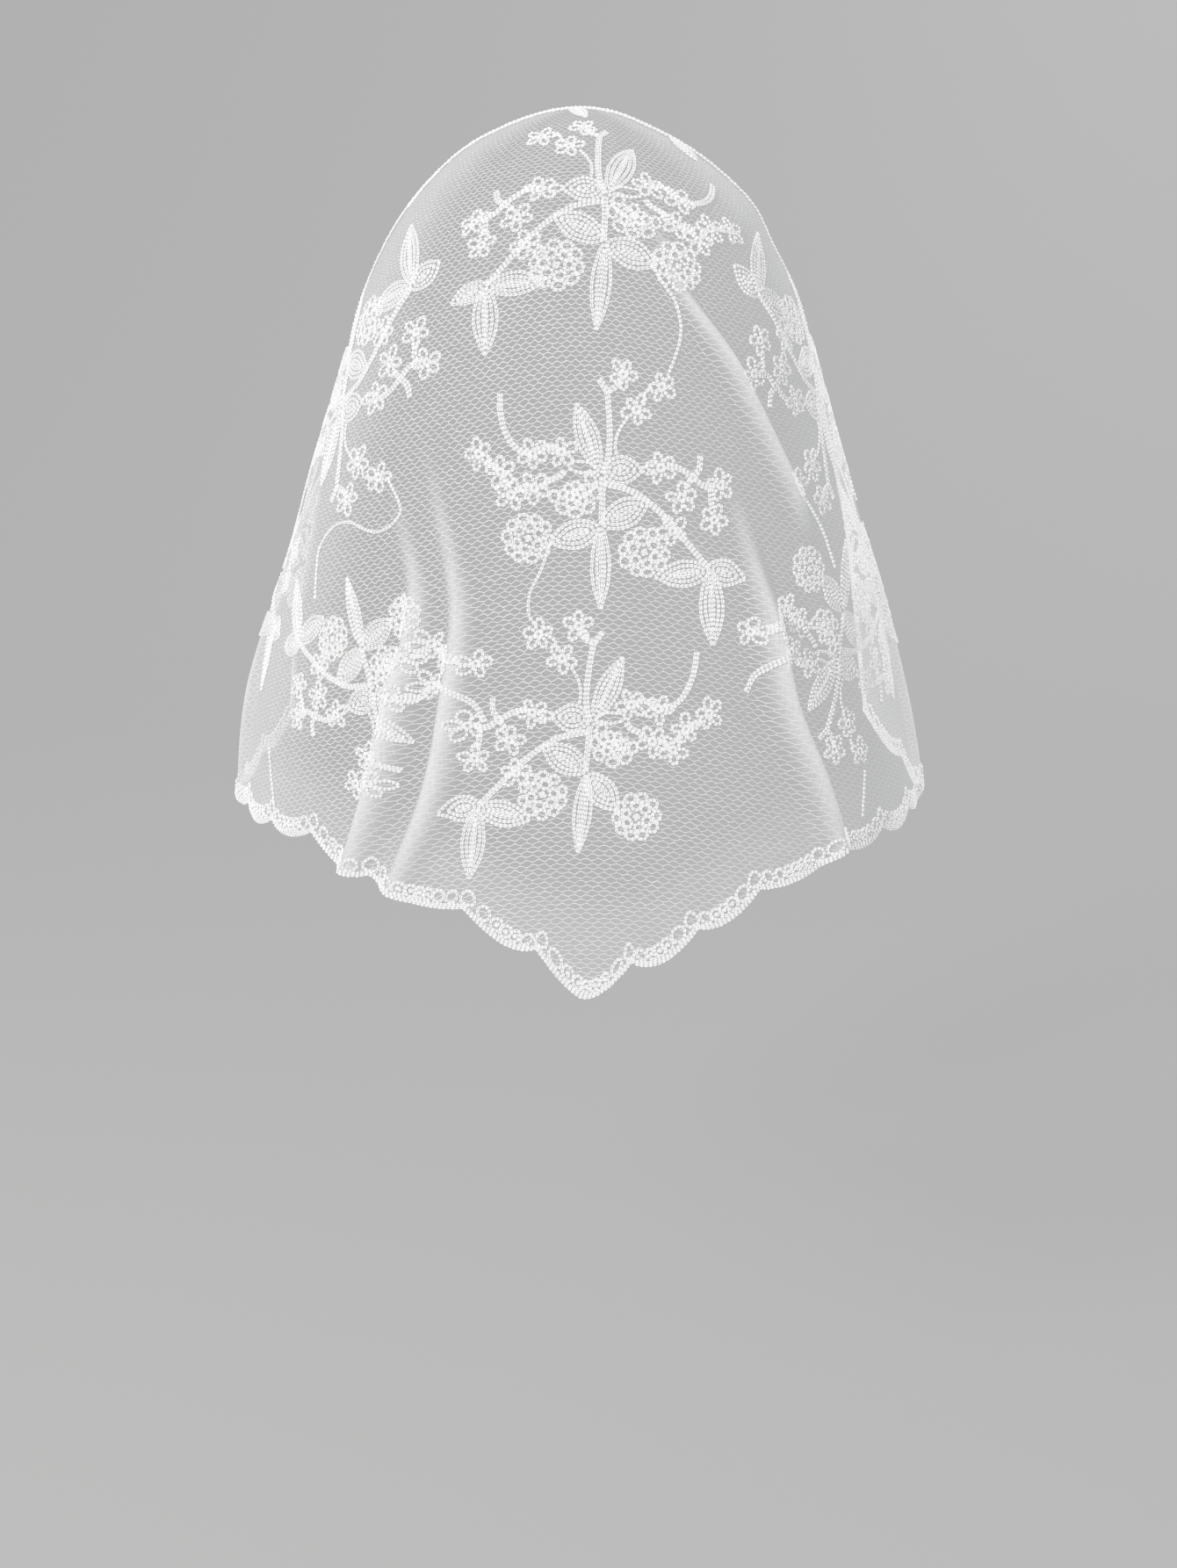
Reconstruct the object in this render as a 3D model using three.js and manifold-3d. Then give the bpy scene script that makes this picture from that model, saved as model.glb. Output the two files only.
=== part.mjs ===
// Lace headscarf of fine net, in the form that it has when worn: a dome that hangs toward -Y
// and down, and is open toward +Y and below.
// Millimetres, +Z up. The origin is the crown, at the middle of the front edge.
// A place on the cloth is an azimuth (degrees round the vertical axis, 0 toward -Y and 90
// toward +X) and a depth (millimetres over the cloth from the crown).
import * as THREE from 'three';
import { mergeVertices } from 'three/addons/utils/BufferGeometryUtils.js';
import Module from 'manifold-3d';

const wasm = await Module();
wasm.setup();

// Driving sizes in millimetres
const NET_WALL = 1.2;
const TRIM_GAP = 0.7;
const TRIM_RELIEF = 1.1;
const LEVEL_STEP = 0.08;
const EDGING_WIDTH = 13;
const FRONT_BAND_WIDTH = 4.5;
const SCALLOP_DEPTH = 5.5;
const TIP_DEPTH = 17;
const NET_HEM_INSET = 1.5;
const NET_TIP = 7;
const NET_TIP_HALF = 9;
const STEM_WIDTH = 3;
const ROSETTE_RADIUS = 10.5;
const FLOWER_RADIUS = 5.5;
const HUB_RADIUS = 3.4;

// Mesh fineness
const NET_ROWS = 17;
const SCALLOP_STEPS = 4;
const STATION_LEAST = 0.06;
const NORMAL_STEP = 0.5;
const FOLD_LEAST = 0.2;
const SETTLE_TURNS = 4;
const LEAST_WIDENING = 0.02;
const CLEAR_DEGREES = 0.7;
const FRONT_CLEAR_DEGREES = 3.5;
const ROSETTE_SIDES = 8;
const FLOWER_SIDES = 5;
const HUB_SIDES = 5;
const WIDE_RADIUS = 8;
// Levels of the pads, from the thinnest
const LEVELS = { flower: 1, leaf: 2, rosette: 3, hub: 4 };
// A leaf's outline: shares of its length from the base, and of its width to each side
const LEAF_OUTLINE = [[0, 0], [0.3, -0.42], [0.7, -0.46], [1, 0], [0.7, 0.46], [0.3, 0.42]];

// A table as an object of named columns
function table(names, rows) {
  const columns = {};
  names.split(' ').forEach((name, k) => {
    columns[name] = rows.map((row) => row[k]);
  });
  return columns;
}

// Level sections: depth over the cloth, drop below the crown, and half widths of each section.
// The first row mirrors the third, so that the crown is round.
const SECTIONS = table('depth drop back left right fore', [
  [-20, 1.8, -19.9, -15, -14, -16],
  [0, 0, 0, 0, 0, 0],
  [20, 1.8, 19.9, 15, 14, 16],
  [40, 7.2, 39.1, 31, 28, 31],
  [60, 16, 57, 48, 45, 45],
  [80, 27.9, 73.1, 62, 61, 57],
  [100, 42.4, 86.8, 74.5, 75, 66],
  [120, 59.2, 97.6, 85, 83.5, 73],
  [145, 82, 106, 95.5, 95, 80],
  [180, 116, 112, 106, 105.5, 88],
  [220, 155.7, 115, 118.5, 117, 98],
  [265, 200.6, 118, 131, 130, 108],
  [320, 255.5, 122, 146, 142, 118],
  [370, 305.3, 126, 153, 152, 126],
  [430, 365, 131, 158, 159, 132],
]);

// Azimuth of the front edge at each depth
const FRONT_EDGE = table('depth azimuth', [
  [0, 90],
  [60, 90],
  [100, 92],
  [145, 97],
  [180, 102],
  [265, 111],
  [330, 116],
  [380, 118],
]);

// Depth of the hem at each azimuth, at the notches between the scallops
const HEM = table('azimuth depth', [
  [-118, 352],
  [-108, 364],
  [-90, 370],
  [-63, 369],
  [-50, 367],
  [-36, 379],
  [-19, 388],
  [-7, 404],
  [8, 410],
  [19, 397],
  [30, 383],
  [47, 372],
  [61, 371],
  [90, 369],
  [108, 363],
  [118, 352],
]);

// Azimuths of the notches; the scallop from -7 to 8 is the pointed one at the centre back
const NOTCHES = [-118, -105, -91, -77, -63, -50, -36, -19, -7, 8, 19, 30, 47, 60.5, 74, 88, 102, 118];
const TIP_NOTCH = -7;
const TIP_AZIMUTH = 0.5;

// Folds: ridge height, half width in degrees, lean per millimetre of height,
// and the depths at which each starts, is full, begins to fade and is gone
const FOLDS = table('height half lean start full fade gone', [
  [5, 5, 0.2, 230, 330, 330, 450],
  [10, 4.4, -0.42, 228, 300, 330, 450],
  [7.5, 4.2, -0.4, 205, 310, 330, 450],
  [9, 4.6, 0.42, 215, 290, 330, 450],
  [6, 4.4, 0.4, 100, 160, 212, 245],
  [5, 5, -0.2, 230, 330, 330, 450],
]);

// Azimuth of each fold's ridge, one row for each fold, at these depths
const RIDGE_DEPTHS = [0, 120, 165, 205, 255, 300, 340, 385, 430];
const RIDGES = [
  [-72, -77, -80, -81, -83, -84, -85, -87, -88],
  [-54, -58, -54, -45, -32, -31.5, -34, -40, -46],
  [-40, -47, -43, -33, -23, -22, -24, -31, -37],
  [10, 15, 25, 33, 36, 37, 42, 47, 50],
  [20, 28, 39, 47, 55.5, 59, 62, 64, 65],
  [72, 77, 80, 82, 84, 85, 86, 88, 89],
];

// Columns of the net between the folds: how many steps in each gap, from left to right
const FOLD_STEPS = [-1, -0.5, 0, 0.5, 1];
const GAP_STEPS = [3, 2, 1, 5, 1, 2, 3];

// One embroidered spray, charted on the flat cloth from its upper junction, x right and y up.
// Its wing and its trefoil are parts that can swing, each about its own junction.
const LOWER_JUNCTION = [0.5, -19.7];
const TREFOIL = [42, -37.2];
const PIVOTS = { fixed: [0, 0], wing: LOWER_JUNCTION, trefoil: TREFOIL };
const LEAF_COLUMNS = 'x0 y0 x1 y1 width';
const LEAVES = {
  fixed: table(LEAF_COLUMNS, [
    [-0.9, 3.6, -10.5, 29, 10.3],
    [1.1, 2.7, 16.8, 2.7, 12.3],
    [0.8, -19, 19.3, -9.6, 12.3],
    [0.3, -20.5, 0.6, -53.4, 8],
  ]),
  wing: table(LEAF_COLUMNS, [
    [-0.5, -20.2, -19.3, -26, 12.1],
  ]),
  trefoil: table(LEAF_COLUMNS, [
    [42.5, -38.5, 21, -41.8, 11.5],
    [42, -37, 57, -42, 11.5],
    [43, -39, 44.5, -69, 10.5],
  ]),
};
const ROSETTES = { fixed: [[17, -30.3], [-10, -6.5]], wing: [[-27.3, -24.2]] };
const FLOWERS = [[24.8, 3.4], [50.4, -4.7], [46.2, -18.3], [9.4, 40.6], [-27.3, 8.1]];
const HUBS = [[0, 0], LOWER_JUNCTION, TREFOIL, [38.3, -0.7]];
const STEMS = [
  [[0, 0], LOWER_JUNCTION],
  [[0, 0], [3.6, 15], [3.2, 27], [9.4, 40.6]],
  [[0, 0], [13, -6], [27, -18], [34.5, -27.6], TREFOIL],
  [[14, 2.7], [24.8, 3.4], [32, 3.2], [38.3, -0.7], [50.4, -4.7]],
  [[45.6, -3.5], [46.2, -18.3]],
  [[0, 0], [-17, 10], [-27.3, 8.1], [-36.5, 12], [-43, 32]],
];

// Where each spray's upper junction lies: azimuth, depth, turn to the left in degrees, its size
// across and along, whether it is mirrored or upside down, and how far its parts swing
const SPRAYS = {
  spray_centre_top: {
    azimuth: 10.7, depth: 79, turn: -10.6, wide: 1.33, tall: 1.15,
    mirror: true, inverted: false, wing: -2, trefoil: -12,
  },
  spray_centre_middle: {
    azimuth: 4.3, depth: 200.3, turn: -1.8, wide: 1.06, tall: 1.05,
    mirror: false, inverted: false, wing: 3, trefoil: -4,
  },
  spray_centre_bottom: {
    azimuth: 2, depth: 306, turn: -4.9, wide: 0.88, tall: 1.04,
    mirror: true, inverted: false, wing: 29, trefoil: -2,
  },
  spray_left_upper: {
    azimuth: -71.7, depth: 188, turn: 27.6, wide: 1.3, tall: 1.08,
    mirror: true, inverted: true, wing: 0, trefoil: -22,
  },
  spray_left_lower: {
    azimuth: -38.6, depth: 298, turn: 30.3, wide: 0.94, tall: 0.97,
    mirror: false, inverted: true, wing: 0, trefoil: 0,
  },
  spray_right_upper: {
    azimuth: 73.9, depth: 186.5, turn: -22, wide: 1.1, tall: 1.09,
    mirror: false, inverted: true, wing: 0, trefoil: -31,
  },
  spray_right_lower: {
    azimuth: 54.5, depth: 289.6, turn: -30.2, wide: 1.04, tall: 1,
    mirror: true, inverted: true, wing: 12, trefoil: 0,
  },
  spray_left_front: {
    azimuth: -100, depth: 258, turn: 12, wide: 1, tall: 1,
    mirror: false, inverted: false, wing: 0, trefoil: 0,
  },
  spray_right_front: {
    azimuth: 101, depth: 262, turn: -12, wide: 1, tall: 1,
    mirror: true, inverted: false, wing: 0, trefoil: 0,
  },
};

const radians = THREE.MathUtils.degToRad;
const degrees = THREE.MathUtils.radToDeg;

// Smooth value of a table's column y at x, with slopes from the rows on either side
function blend(xs, ys, x) {
  const last = xs.length - 1;
  let k = 0;
  while (k < last - 1 && x > xs[k + 1]) k += 1;
  const slope = (i) => {
    const a = Math.max(i - 1, 0);
    const b = Math.min(i + 1, last);
    return (ys[b] - ys[a]) / (xs[b] - xs[a]);
  };
  const step = xs[k + 1] - xs[k];
  const t = Math.min(Math.max((x - xs[k]) / step, 0), 1.5);
  const rise = (ys[k + 1] - ys[k]) / step;
  const m0 = slope(k);
  const m1 = slope(k + 1);
  return ys[k] + step * t * (m0 + t * (3 * rise - 2 * m0 - m1 + t * (m0 + m1 - 2 * rise)));
}

function smoothStep(start, end, x) {
  const t = Math.min(Math.max((x - start) / (end - start), 0), 1);
  return t * t * (3 - 2 * t);
}

// The cloth without its folds
function basePoint(azimuth, depth) {
  const width = (name) => blend(SECTIONS.depth, SECTIONS[name], depth);
  const angle = radians(azimuth);
  const side = width(azimuth < 0 ? 'left' : 'right');
  const along = width(Math.cos(angle) > 0 ? 'back' : 'fore');
  return new THREE.Vector3(side * Math.sin(angle), -along * Math.cos(angle), -width('drop'));
}

// Millimetres over the cloth for one radian of azimuth
function radiusAt(azimuth, depth) {
  const angle = radians(azimuth);
  const side = blend(SECTIONS.depth, SECTIONS[azimuth < 0 ? 'left' : 'right'], depth);
  const along = blend(SECTIONS.depth, SECTIONS.back, depth);
  return Math.hypot(side * Math.sin(angle), along * Math.cos(angle)) || 1;
}

function normalOf(place, azimuth, depth) {
  const turn = degrees(NORMAL_STEP / Math.max(radiusAt(azimuth, depth), NORMAL_STEP));
  const across = place(azimuth + turn, depth).sub(place(azimuth - turn, depth));
  const down = place(azimuth, depth + NORMAL_STEP).sub(place(azimuth, Math.max(depth - NORMAL_STEP, 0)));
  return down.cross(across).normalize();
}

// A fold's height at a depth, and the azimuth of its ridge
function foldHeight(fold, depth) {
  const grown = smoothStep(FOLDS.start[fold], FOLDS.full[fold], depth);
  const left = 1 - smoothStep(FOLDS.fade[fold], FOLDS.gone[fold], depth);
  return FOLDS.height[fold] * grown * left;
}

function ridgeAzimuth(fold, depth) {
  return blend(RIDGE_DEPTHS, RIDGES[fold], depth);
}

// The cloth with its folds, each a leaning ridge
function clothPoint(azimuth, depth) {
  let lift = 0;
  let slide = 0;
  RIDGES.forEach((_, fold) => {
    const off = (azimuth - ridgeAzimuth(fold, depth)) / FOLDS.half[fold];
    if (Math.abs(off) < 1) {
      const rise = foldHeight(fold, depth) * Math.cos((Math.PI / 2) * off) ** 2;
      lift += rise;
      slide += FOLDS.lean[fold] * rise;
    }
  });
  const moved = azimuth + degrees(slide / radiusAt(azimuth, depth));
  const point = basePoint(moved, depth);
  return lift ? point.addScaledVector(normalOf(basePoint, moved, depth), lift) : point;
}

function offsetPoint(azimuth, depth, height) {
  return clothPoint(azimuth, depth).addScaledVector(normalOf(clothPoint, azimuth, depth), height);
}

const hemDepth = (azimuth) => blend(HEM.azimuth, HEM.depth, azimuth);
const frontAzimuth = (depth) => blend(FRONT_EDGE.depth, FRONT_EDGE.azimuth, depth);

// A closed mesh from points and triangles of their numbers
function geometryOf(points, triangles) {
  const geometry = new THREE.BufferGeometry();
  const numbers = points.flatMap((point) => [point.x, point.y, point.z]);
  geometry.setAttribute('position', new THREE.Float32BufferAttribute(numbers, 3));
  geometry.setIndex(triangles.flat());
  return geometry;
}

// Azimuths of the net's columns at one depth: close on the folds, wide between them
function columnAzimuths(depth) {
  const edge = frontAzimuth(depth);
  const stops = [[-edge]];
  RIDGES.forEach((_, fold) => {
    stops.push(FOLD_STEPS.map((step) => ridgeAzimuth(fold, depth) + step * FOLDS.half[fold]));
  });
  stops.push([edge]);
  const columns = [-edge];
  for (let gap = 0; gap < stops.length - 1; gap += 1) {
    const from = stops[gap].at(-1);
    const to = stops[gap + 1][0];
    const steps = GAP_STEPS[gap];
    for (let k = 1; k < steps; k += 1) columns.push(from + ((to - from) * k) / steps);
    columns.push(...stops[gap + 1]);
  }
  return columns;
}

// Depth of a row of the net: the rows fan out from level at the crown to the line of the hem
function rowDepth(share, azimuth) {
  const level = share * hemDepth(0);
  const tip = NET_TIP * Math.max(1 - Math.abs(azimuth - TIP_AZIMUTH) / NET_TIP_HALF, 0);
  const followed = share * (hemDepth(azimuth) + tip - NET_HEM_INSET);
  return level + (followed - level) * smoothStep(0.3, 1, share);
}

// Azimuth and depth of each point of the net's rows below the crown: a column's azimuth
// hangs on its depth, and a row's depth on its azimuth, so each place is settled in turns
function netPlaces() {
  const rows = [];
  const columns = columnAzimuths(0).length;
  for (let row = 1; row <= NET_ROWS; row += 1) {
    const share = row / NET_ROWS;
    const places = [];
    for (let column = 0; column < columns; column += 1) {
      let depth = share * hemDepth(0);
      for (let turn = 0; turn < SETTLE_TURNS; turn += 1) {
        depth = rowDepth(share, columnAzimuths(depth)[column]);
      }
      places.push([columnAzimuths(depth)[column], depth]);
    }
    rows.push(places);
  }
  return rows;
}

const NET_PLACES = netPlaces();

// A sheet of the net's rows between two heights over the cloth, closed along its rim
function netGround() {
  const columns = NET_PLACES[0].length;
  const places = [[0, 0], ...NET_PLACES.flat()];
  const layer = (height) => places.map((place) => offsetPoint(...place, height));
  const points = [...layer(0), ...layer(-NET_WALL)];
  const inner = points.length / 2;
  const at = (row, column) => (row === 0 ? 0 : 1 + (row - 1) * columns + column);
  const triangles = [];
  const both = (a, b, c) => {
    triangles.push([a, b, c], [a + inner, c + inner, b + inner]);
  };
  for (let column = 0; column < columns - 1; column += 1) {
    both(0, at(1, column), at(1, column + 1));
    for (let row = 1; row < NET_ROWS; row += 1) {
      both(at(row, column), at(row + 1, column), at(row + 1, column + 1));
      both(at(row, column), at(row + 1, column + 1), at(row, column + 1));
    }
  }
  const rim = [0];
  for (let row = 1; row <= NET_ROWS; row += 1) rim.push(at(row, 0));
  for (let column = 1; column < columns; column += 1) rim.push(at(NET_ROWS, column));
  for (let row = NET_ROWS - 1; row >= 1; row -= 1) rim.push(at(row, columns - 1));
  rim.forEach((a, k) => {
    const b = rim[(k + 1) % rim.length];
    triangles.push([a, a + inner, b + inner], [a, b + inner, b]);
  });
  return geometryOf(points, triangles);
}

// A count along the net's columns, with a fraction between two of them, and its azimuth
function columnCount(azimuth, depth) {
  const columns = columnAzimuths(depth);
  let k = 0;
  while (k < columns.length - 2 && azimuth > columns[k + 1]) k += 1;
  return k + (azimuth - columns[k]) / (columns[k + 1] - columns[k]);
}

function countAzimuth(count, depth) {
  const columns = columnAzimuths(depth);
  const k = Math.min(Math.floor(count), columns.length - 2);
  return columns[k] + (columns[k + 1] - columns[k]) * (count - k);
}

// A point over the net's own facets, so that a trim follows them
function facetPoint(count, depth, height) {
  const columns = columnAzimuths(depth);
  const k = Math.min(Math.floor(count), columns.length - 2);
  return offsetPoint(columns[k], depth, height).lerp(offsetPoint(columns[k + 1], depth, height), count - k);
}

// Faces of a closed strip with four corners at each of its stations
function tubeTriangles(stations) {
  const triangles = [];
  for (let k = 0; k < stations - 1; k += 1) {
    for (let side = 0; side < 4; side += 1) {
      const a = 4 * k + side;
      const b = 4 * k + ((side + 1) % 4);
      triangles.push([a, b + 4, b], [a, a + 4, b + 4]);
    }
  }
  const end = 4 * (stations - 1);
  triangles.push([0, 2, 3], [0, 1, 2], [end, end + 2, end + 1], [end, end + 3, end + 2]);
  return triangles;
}

// A band between two lines, given as pairs of places, with a flat cross-section
function band(pairs) {
  const points = pairs.flatMap(([edge, inner]) => [
    facetPoint(...edge, TRIM_GAP),
    facetPoint(...edge, TRIM_GAP + TRIM_RELIEF),
    facetPoint(...inner, TRIM_GAP + TRIM_RELIEF),
    facetPoint(...inner, TRIM_GAP),
  ]);
  return geometryOf(points, tubeTriangles(pairs.length));
}

// How far the scallops hang below their notches at an azimuth
function scallopDrop(azimuth) {
  let k = 0;
  while (k < NOTCHES.length - 2 && azimuth > NOTCHES[k + 1]) k += 1;
  const share = Math.min(Math.max((azimuth - NOTCHES[k]) / (NOTCHES[k + 1] - NOTCHES[k]), 0), 1);
  if (NOTCHES[k] === TIP_NOTCH) return TIP_DEPTH * (1 - Math.abs(2 * share - 1) ** 1.5);
  return SCALLOP_DEPTH * Math.sin(Math.PI * share) ** 0.8;
}

// The edging has a station at each column of the net and at the steps of each scallop
function scallopedEdging() {
  const level = hemDepth(90);
  const counts = columnAzimuths(level).map((_, k) => k);
  for (let k = 0; k < NOTCHES.length - 1; k += 1) {
    for (let step = k ? 0 : 1; step < SCALLOP_STEPS; step += 1) {
      const azimuth = NOTCHES[k] + ((NOTCHES[k + 1] - NOTCHES[k]) * step) / SCALLOP_STEPS;
      counts.push(columnCount(azimuth, hemDepth(azimuth)));
    }
  }
  counts.sort((a, b) => a - b);
  const apart = counts.filter((count, k) => k === 0 || count - counts[k - 1] > STATION_LEAST);
  const line = (count, dropShare, inset) => {
    const azimuth = countAzimuth(count, hemDepth(countAzimuth(count, level)));
    return [count, hemDepth(azimuth) + dropShare * scallopDrop(azimuth) - inset];
  };
  return band(apart.map((count) => [line(count, 1, 0), line(count, 0.5, EDGING_WIDTH - SCALLOP_DEPTH)]));
}

// The front band has a station at each row of the net, down to the edging
function frontEdgeBand() {
  const end = hemDepth(frontAzimuth(hemDepth(90))) - EDGING_WIDTH + SCALLOP_DEPTH - TRIM_GAP;
  const side = (sign) => {
    const depths = NET_PLACES.map((row) => row[0][1]).filter((depth) => depth < end - FRONT_BAND_WIDTH);
    return [...depths, end].map((depth) => {
      const edge = frontAzimuth(depth);
      const inset = degrees(Math.asin(FRONT_BAND_WIDTH / radiusAt(edge, depth)));
      return [[columnCount(sign * edge, depth), depth], [columnCount(sign * (edge - inset), depth), depth]];
    });
  };
  const crown = [[columnCount(0, 0), 0], [columnCount(0, 0), FRONT_BAND_WIDTH]];
  return band([...side(1).reverse(), crown, ...side(-1)]);
}

// Place on the cloth of a point of a spray's chart: up the cloth from the spray's junction,
// and then across it, on the cone that fits the cloth at that depth
function chartPlace(spray, [x, y]) {
  const right = (spray.mirror ? -x : x) * spray.wide;
  const up = y * spray.tall;
  const sign = spray.inverted ? -1 : 1;
  const turn = radians(spray.turn);
  const across = sign * (right * Math.cos(turn) - up * Math.sin(turn));
  const depth = Math.max(spray.depth - sign * (right * Math.sin(turn) + up * Math.cos(turn)), 1);
  const radius = radiusAt(spray.azimuth, depth);
  const widening = Math.max(radiusAt(spray.azimuth, depth + 1) - radius, LEAST_WIDENING);
  const apex = radius / widening;
  const azimuth = spray.azimuth + degrees(Math.atan2(across, apex) / widening);
  return [azimuth, depth + Math.hypot(apex, across) - apex];
}

// A point of a part of the chart, turned about the part's junction as far as it swings in a spray
function swing(spray, part, [x, y]) {
  const [pivotX, pivotY] = PIVOTS[part];
  const angle = radians(spray[part] ?? 0);
  const [right, up] = [x - pivotX, y - pivotY];
  return [
    pivotX + right * Math.cos(angle) - up * Math.sin(angle),
    pivotY + right * Math.sin(angle) + up * Math.cos(angle),
  ];
}

// Whether a place is on the plain net, clear of the front edge, the edging and the folds
function isClear([azimuth, depth]) {
  const inside = Math.abs(azimuth) < frontAzimuth(depth) - FRONT_CLEAR_DEGREES;
  const above = depth < hemDepth(azimuth) - EDGING_WIDTH;
  const smooth = RIDGES.every((_, fold) => (
    foldHeight(fold, depth) < FOLD_LEAST
    || Math.abs(azimuth - ridgeAzimuth(fold, depth)) > FOLDS.half[fold] + CLEAR_DEGREES
  ));
  return inside && above && smooth;
}

function solidOf(points, triangles) {
  const geometry = geometryOf(points, triangles);
  geometry.deleteAttribute('normal');
  const merged = mergeVertices(geometry);
  let volume = 0;
  triangles.forEach(([a, b, c]) => {
    volume += points[a].dot(points[b].clone().cross(points[c]));
  });
  const index = volume > 0 ? merged.index.array : merged.index.array.slice().reverse();
  return new wasm.Manifold(new wasm.Mesh({
    numProp: 3,
    vertProperties: new Float32Array(merged.attributes.position.array),
    triVerts: new Uint32Array(index),
  }));
}

// A raised pad over an outline on the chart, with a point in its middle where it is wide.
// A higher level is a little thicker both ways, so that pads which cross join cleanly.
function pad(spray, outline, level, wide = false) {
  const middle = [0, 1].map((k) => outline.reduce((sum, point) => sum + point[k], 0) / outline.length);
  const ring = outline.map((point) => chartPlace(spray, point));
  const places = wide ? [chartPlace(spray, middle), ...ring] : ring;
  const low = places.map((place) => offsetPoint(...place, TRIM_GAP - level * LEVEL_STEP));
  const high = places.map((place) => offsetPoint(...place, TRIM_GAP + TRIM_RELIEF + level * LEVEL_STEP));
  const top = places.length;
  const first = wide ? 1 : 0;
  const triangles = [];
  for (let k = first; k < top; k += 1) {
    const next = k === top - 1 ? first : k + 1;
    triangles.push([k, next, top + next], [k, top + next, top + k]);
    if (wide) triangles.push([0, next, k], [top, top + k, top + next]);
  }
  for (let k = 0; k < top - 2 && !wide; k += 1) {
    const a = Math.ceil(k / 2);
    const b = top - 1 - Math.floor(k / 2);
    const third = k % 2 ? b - 1 : a + 1;
    triangles.push([a, b, third], [top + a, top + third, top + b]);
  }
  return { places, solid: () => solidOf([...low, ...high], triangles) };
}

function leafPad(spray, part, [x0, y0, x1, y1, width]) {
  const along = [x1 - x0, y1 - y0];
  const length = Math.hypot(...along);
  const at = ([share, side]) => [
    x0 + along[0] * share - (along[1] / length) * side * width,
    y0 + along[1] * share + (along[0] / length) * side * width,
  ];
  return pad(spray, LEAF_OUTLINE.map((place) => swing(spray, part, at(place))), LEVELS.leaf);
}

function roundPad(spray, [x, y], radius, sides, level) {
  const outline = [];
  for (let k = 0; k < sides; k += 1) {
    const angle = (2 * Math.PI * k) / sides;
    outline.push([x + radius * Math.cos(angle), y + radius * Math.sin(angle)]);
  }
  return pad(spray, outline, level, radius > WIDE_RADIUS);
}

// A stem along a line of points on the chart
function stemPad(spray, line) {
  const stations = line.map(([x, y], k) => {
    const [xa, ya] = line[Math.max(k - 1, 0)];
    const [xb, yb] = line[Math.min(k + 1, line.length - 1)];
    const length = Math.hypot(xb - xa, yb - ya);
    const side = [(-(yb - ya) / length) * STEM_WIDTH * 0.5, ((xb - xa) / length) * STEM_WIDTH * 0.5];
    return [[x + side[0], y + side[1]], [x - side[0], y - side[1]]].map((point) => chartPlace(spray, point));
  });
  const points = stations.flatMap(([left, right]) => [
    offsetPoint(...left, TRIM_GAP),
    offsetPoint(...left, TRIM_GAP + TRIM_RELIEF),
    offsetPoint(...right, TRIM_GAP + TRIM_RELIEF),
    offsetPoint(...right, TRIM_GAP),
  ]);
  return { places: stations.flat(), solid: () => solidOf(points, tubeTriangles(stations.length)) };
}

// All of a table's rows, as lists
function rowsOf(columns) {
  return Object.values(columns)[0].map((_, k) => Object.values(columns).map((column) => column[k]));
}

function sprayGeometry(spray) {
  const pads = [
    ...HUBS.map((place) => roundPad(spray, place, HUB_RADIUS, HUB_SIDES, LEVELS.hub)),
    ...STEMS.map((stem) => stemPad(spray, stem)),
    ...FLOWERS.map((place) => roundPad(spray, place, FLOWER_RADIUS, FLOWER_SIDES, LEVELS.flower)),
  ];
  Object.entries(LEAVES).forEach(([part, leaves]) => {
    pads.push(...rowsOf(leaves).map((row) => leafPad(spray, part, row)));
  });
  Object.entries(ROSETTES).forEach(([part, places]) => {
    const moved = places.map((place) => swing(spray, part, place));
    pads.push(...moved.map((place) => roundPad(spray, place, ROSETTE_RADIUS, ROSETTE_SIDES, LEVELS.rosette)));
  });
  const kept = pads.filter(({ places }) => places.every(isClear));
  const joined = kept.map(({ solid }) => solid()).reduce((all, next) => all.add(next));
  const largest = joined.decompose().sort((a, b) => b.volume() - a.volume())[0];
  const { vertProperties, triVerts } = largest.getMesh();
  const geometry = new THREE.BufferGeometry();
  geometry.setAttribute('position', new THREE.BufferAttribute(vertProperties, 3));
  geometry.setIndex(new THREE.BufferAttribute(triVerts, 1));
  return geometry;
}

const group = new THREE.Group();
const thread = new THREE.MeshStandardMaterial({ color: 0xf6f6f4, roughness: 0.55, metalness: 0 });
const net = new THREE.MeshStandardMaterial({ color: 0xe6e5e6, roughness: 0.75, metalness: 0 });

function addPiece(name, geometry, material) {
  const mesh = new THREE.Mesh(geometry, material);
  mesh.name = name;
  group.add(mesh);
}

addPiece('net_ground', netGround(), net);
addPiece('scalloped_edging', scallopedEdging(), thread);
addPiece('front_edge_band', frontEdgeBand(), thread);
Object.entries(SPRAYS).forEach(([name, spray]) => addPiece(name, sprayGeometry(spray), thread));

export default group;
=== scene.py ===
import math

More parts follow.
